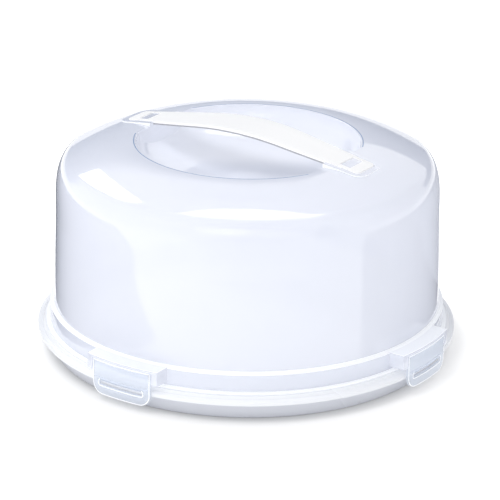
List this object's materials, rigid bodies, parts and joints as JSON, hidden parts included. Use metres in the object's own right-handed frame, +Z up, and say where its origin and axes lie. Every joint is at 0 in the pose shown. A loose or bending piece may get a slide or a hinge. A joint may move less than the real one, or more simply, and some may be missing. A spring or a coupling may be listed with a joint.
{
  "type": "cake carrier",
  "caption": "Round cake carrier with a shallow tray, a clear lift-off dome with a sunken top, a strap handle across the recess and clips that close over the rim.",
  "frame": {"origin": "centre of the tray's foot, on the surface that the carrier stands on", "axes": "+Z up, X along the handle, clips on both ends of X and of Y"},
  "size_m": [0.337, 0.337, 0.178],
  "materials": {
    "white_tray": "white moulded polypropylene, satin gloss",
    "clear_dome": "clear polypropylene with a milky blue cast, high gloss",
    "white_handle": "white moulded polypropylene, soft gloss",
    "clear_clip": "clear polypropylene with bright edges, gloss"
  },
  "bodies": {
    "tray": {"tray": "white_tray"},
    "dome": {"dome": "clear_dome", "handle": "white_handle"},
    "clip_front": {"clip_front": "clear_clip"},
    "clip_right": {"clip_right": "clear_clip"},
    "clip_back": {"clip_back": "clear_clip"},
    "clip_left": {"clip_left": "clear_clip"}
  },
  "joints": [
    {"name": "dome_lift", "type": "slide", "parent": "tray", "child": "dome", "axis": [0, 0, 1], "range_m": [0, 0.2]},
    {"name": "clip_front_swing", "type": "hinge", "parent": "dome", "child": "clip_front", "pos_m": [0, -0.168, 0.03405], "axis": [-1, 0, 0], "range_deg": [0, 110]},
    {"name": "clip_right_swing", "type": "hinge", "parent": "dome", "child": "clip_right", "pos_m": [0.168, 0, 0.03405], "axis": [0, -1, 0], "range_deg": [0, 110]},
    {"name": "clip_back_swing", "type": "hinge", "parent": "dome", "child": "clip_back", "pos_m": [0, 0.168, 0.03405], "axis": [1, 0, 0], "range_deg": [0, 110]},
    {"name": "clip_left_swing", "type": "hinge", "parent": "dome", "child": "clip_left", "pos_m": [-0.168, 0, 0.03405], "axis": [0, 1, 0], "range_deg": [0, 110]}
  ]
}
